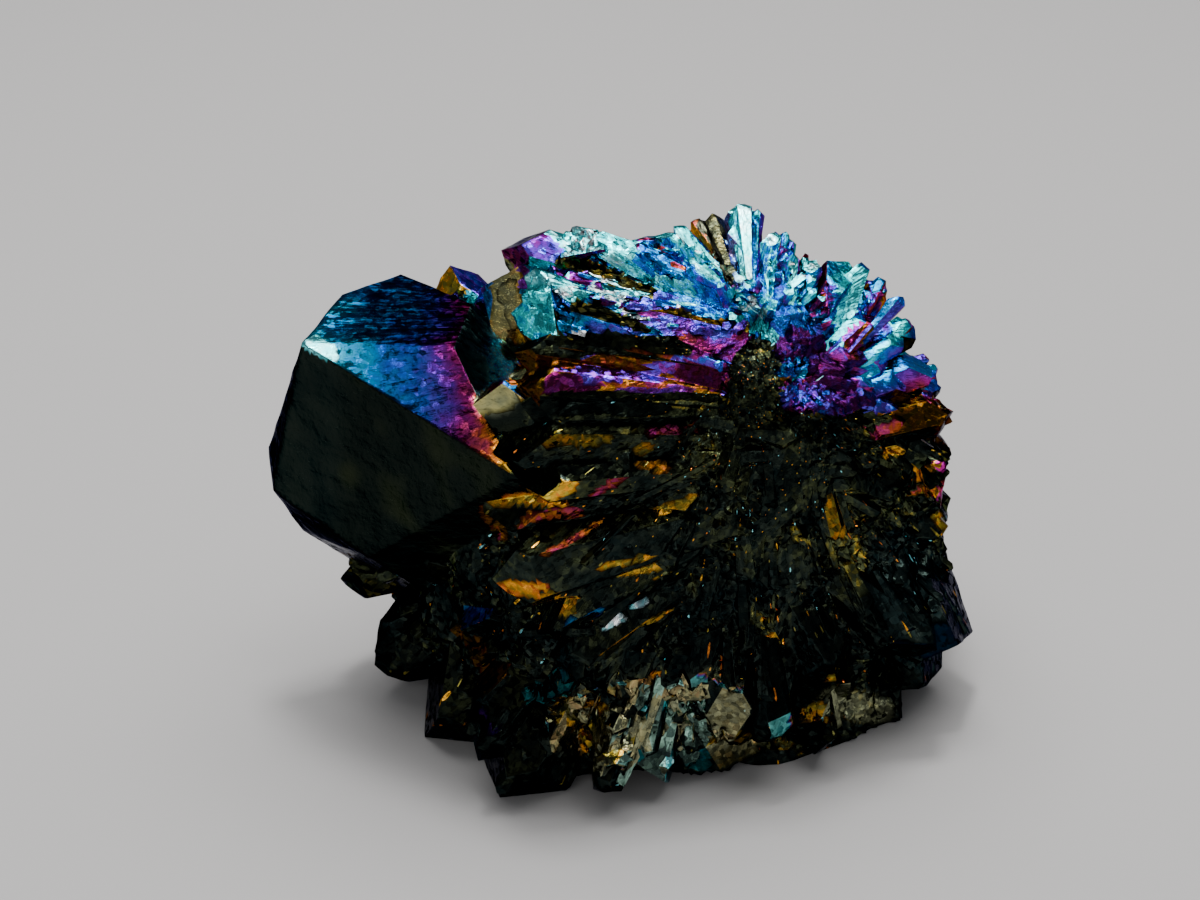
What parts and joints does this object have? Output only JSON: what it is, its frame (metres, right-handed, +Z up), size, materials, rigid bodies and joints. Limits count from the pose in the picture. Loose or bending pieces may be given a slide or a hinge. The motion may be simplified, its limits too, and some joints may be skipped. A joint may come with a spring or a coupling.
{
  "type": "aura quartz cluster",
  "caption": "Metal-coated quartz cluster: crystals fan out from a rough broken hub, with one large pointed crystal at the left. Rests on its flat underside.",
  "frame": {"origin": "middle of the bounding box's bottom face, on the plane the cluster rests on", "axes": "+Z up from the rest face, +X along the longest extent with the large pointed crystal at -X, the rough front faces -Y"},
  "size_m": [0.0522, 0.0356, 0.0391],
  "materials": {
    "aura_coating": "dark iridescent metal film on crystal faces, from bronze and olive through magenta and blue to pale cyan"
  },
  "bodies": {
    "root": {"quartz_cluster": "aura_coating"}
  },
  "joints": []
}
